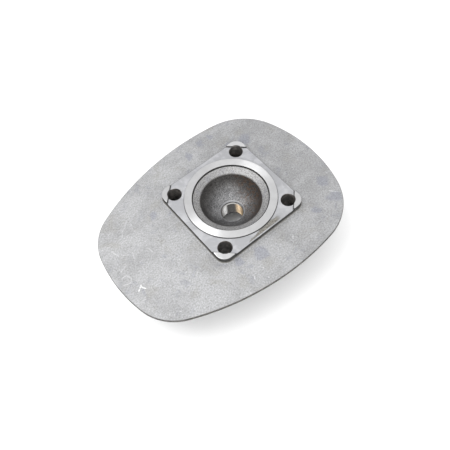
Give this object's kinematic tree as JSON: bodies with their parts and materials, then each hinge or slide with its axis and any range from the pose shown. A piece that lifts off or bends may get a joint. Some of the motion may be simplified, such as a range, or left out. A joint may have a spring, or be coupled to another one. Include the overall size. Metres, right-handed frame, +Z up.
{
  "type": "cylinder head",
  "caption": "Bare finned aluminium cylinder head of a small two-stroke engine: egg-shaped plate, square stud flange, turned gasket ring, domed chamber, threaded plug sleeve.",
  "frame": {"origin": "middle of the plate's outline, in the plane of the fin tips that the head lies on", "axes": "+Z up towards the combustion chamber side, +X along the plate towards its wide end, +Y to the left of that; the cylinder axis is vertical at x = 10.7 mm, y = 1.4 mm"},
  "size_m": [0.1462, 0.1126, 0.036],
  "materials": {
    "cast_aluminium": "as cast, dull and mottled, with turned bright faces and a sooty chamber",
    "bronze_sleeve": "machined thread, slightly tarnished"
  },
  "bodies": {
    "root": {"head_casting": "cast_aluminium", "spark_plug_thread_insert": "bronze_sleeve"}
  },
  "joints": []
}
